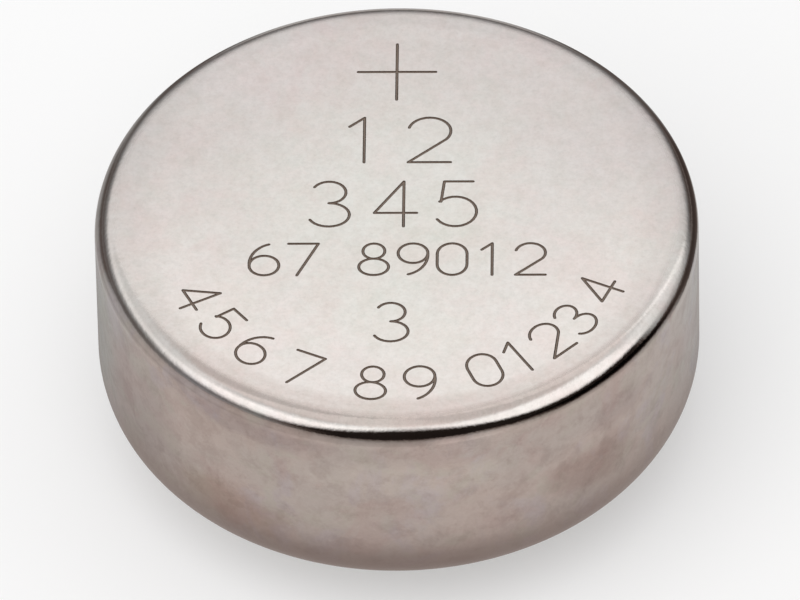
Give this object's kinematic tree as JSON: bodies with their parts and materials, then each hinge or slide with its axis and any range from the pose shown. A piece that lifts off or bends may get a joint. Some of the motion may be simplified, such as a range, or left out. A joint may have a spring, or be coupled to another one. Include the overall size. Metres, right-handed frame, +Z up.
{
  "type": "alkaline button cell",
  "caption": "Round alkaline button cell: plated steel can with a rounded edge, crimped over a nylon gasket and a stepped negative cap. Powers small devices.",
  "frame": {"origin": "middle of the negative contact's flat face, on which the cell stands", "axes": "+Z up along the cell's axis, towards the closed positive face; +X to the right of the marks and +Y away from the reader"},
  "size_m": [0.0116, 0.0116, 0.0054],
  "materials": {
    "can_plating": "satin",
    "cap_plating": "satin",
    "nylon": "translucent off-white",
    "cathode_mix": "pressed powder",
    "film": "clear film",
    "felt": "non-woven",
    "gel": "wet grey gel"
  },
  "bodies": {
    "root": {"positive_can": "can_plating", "negative_cap": "cap_plating", "sealing_gasket": "nylon", "cathode_pellet": "cathode_mix", "barrier_film": "film", "absorbent_pad": "felt", "zinc_gel": "gel"}
  },
  "joints": []
}
